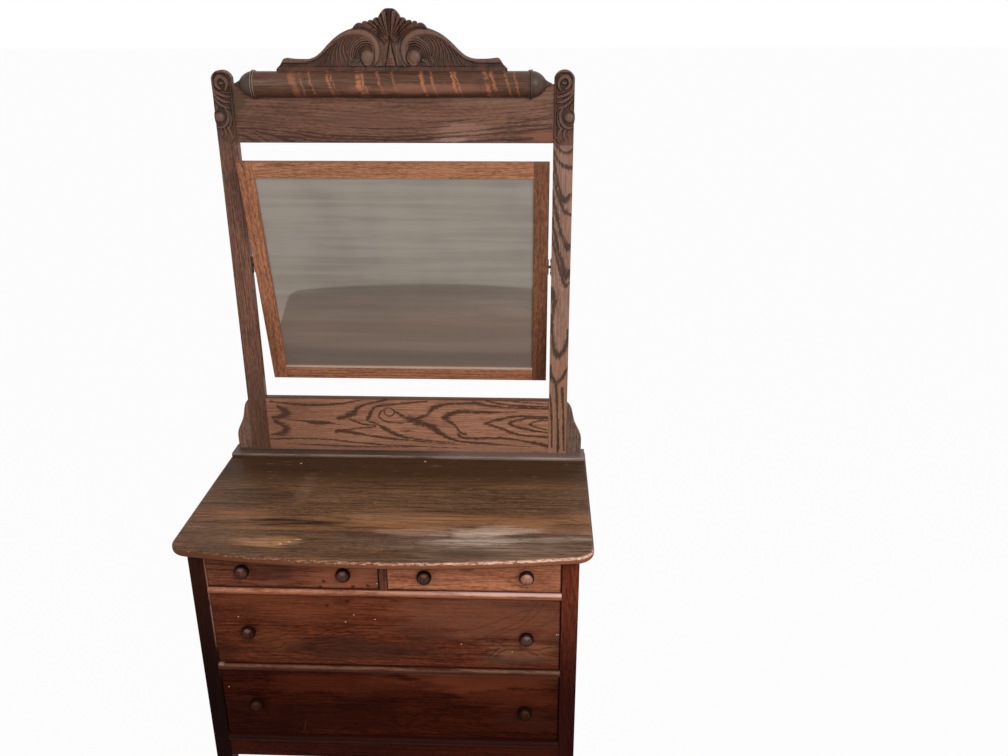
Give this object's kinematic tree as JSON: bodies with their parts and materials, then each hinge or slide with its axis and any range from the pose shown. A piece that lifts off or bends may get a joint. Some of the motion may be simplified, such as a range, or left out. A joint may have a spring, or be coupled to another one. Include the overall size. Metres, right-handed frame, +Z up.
{
  "type": "dresser with mirror",
  "caption": "Oak dresser with a bowed top, beaded drawer rails, turned knobs and a framed mirror that tilts between carved posts.",
  "frame": {"origin": "on the floor, under the middle of the overall box of the dresser with its mirror tilted as stored", "axes": "+X to the right seen from the front, +Y to the back, +Z up; the drawers open towards -Y"},
  "size_m": [1.067, 0.6964, 2.063],
  "materials": {
    "oak_case": "aged satin varnish",
    "oak_top": "worn varnish",
    "oak_upright": "aged satin varnish",
    "oak_carving": "dark aged varnish",
    "oak_mirror_frame": "golden satin varnish",
    "oak_drawer_front": "aged satin varnish",
    "oak_knob": "worn varnish",
    "inner_wood": "bare",
    "silvered_glass": "aged silvering",
    "iron": "dark, aged",
    "steel": "plain"
  },
  "bodies": {
    "case": {"front_post_left": "oak_case", "rear_post_left": "oak_case", "side_rails_left": "oak_case", "side_panel_left": "oak_case", "runners_left": "inner_wood", "front_post_right": "oak_case", "rear_post_right": "oak_case", "side_rails_right": "oak_case", "side_panel_right": "oak_case", "runners_right": "inner_wood", "drawer_rail_lower": "oak_case", "drawer_rail_middle": "oak_case", "drawer_rail_upper": "oak_case", "apron": "oak_case", "centre_divider": "oak_case", "centre_runner": "inner_wood", "drawer_stops": "inner_wood", "back_rails": "inner_wood", "back_boards": "inner_wood", "top": "oak_top", "top_cleats": "inner_wood", "top_screws": "steel", "ledge": "oak_top", "splat": "oak_upright", "upper_rail": "oak_upright", "roll": "oak_upright", "crest": "oak_carving", "mirror_post_left": "oak_upright", "post_carving_left": "oak_carving", "bracket_left": "oak_upright", "post_pivot_left": "iron", "mirror_post_right": "oak_upright", "post_carving_right": "oak_carving", "bracket_right": "oak_upright", "post_pivot_right": "iron"},
    "mirror": {"mirror_stile_left": "oak_mirror_frame", "mirror_stile_right": "oak_mirror_frame", "mirror_rail_top": "oak_mirror_frame", "mirror_rail_bottom": "oak_mirror_frame", "mirror_glass": "silvered_glass", "mirror_backboard": "inner_wood", "mirror_socket_left": "iron", "mirror_socket_right": "iron"},
    "small_left_drawer": {"small_left_front": "oak_drawer_front", "small_left_box": "inner_wood", "small_left_bottom": "inner_wood", "small_left_knobs": "oak_knob"},
    "small_right_drawer": {"small_right_front": "oak_drawer_front", "small_right_box": "inner_wood", "small_right_bottom": "inner_wood", "small_right_knobs": "oak_knob"},
    "large_upper_drawer": {"large_upper_front": "oak_drawer_front", "large_upper_box": "inner_wood", "large_upper_bottom": "inner_wood", "large_upper_knobs": "oak_knob"},
    "large_lower_drawer": {"large_lower_front": "oak_drawer_front", "large_lower_box": "inner_wood", "large_lower_bottom": "inner_wood", "large_lower_knobs": "oak_knob"}
  },
  "joints": [
    {"name": "mirror_tilt", "type": "hinge", "parent": "case", "child": "mirror", "pos_m": [0, 0.25682, 1.392], "axis": [1, 0, 0], "range_deg": [-27.5, 17.5]},
    {"name": "small_left_slide", "type": "slide", "parent": "case", "child": "small_left_drawer", "axis": [0, -1, 0], "range_m": [0, 0.36]},
    {"name": "small_right_slide", "type": "slide", "parent": "case", "child": "small_right_drawer", "axis": [0, -1, 0], "range_m": [0, 0.36]},
    {"name": "large_upper_slide", "type": "slide", "parent": "case", "child": "large_upper_drawer", "axis": [0, -1, 0], "range_m": [0, 0.36]},
    {"name": "large_lower_slide", "type": "slide", "parent": "case", "child": "large_lower_drawer", "axis": [0, -1, 0], "range_m": [0, 0.36]}
  ]
}
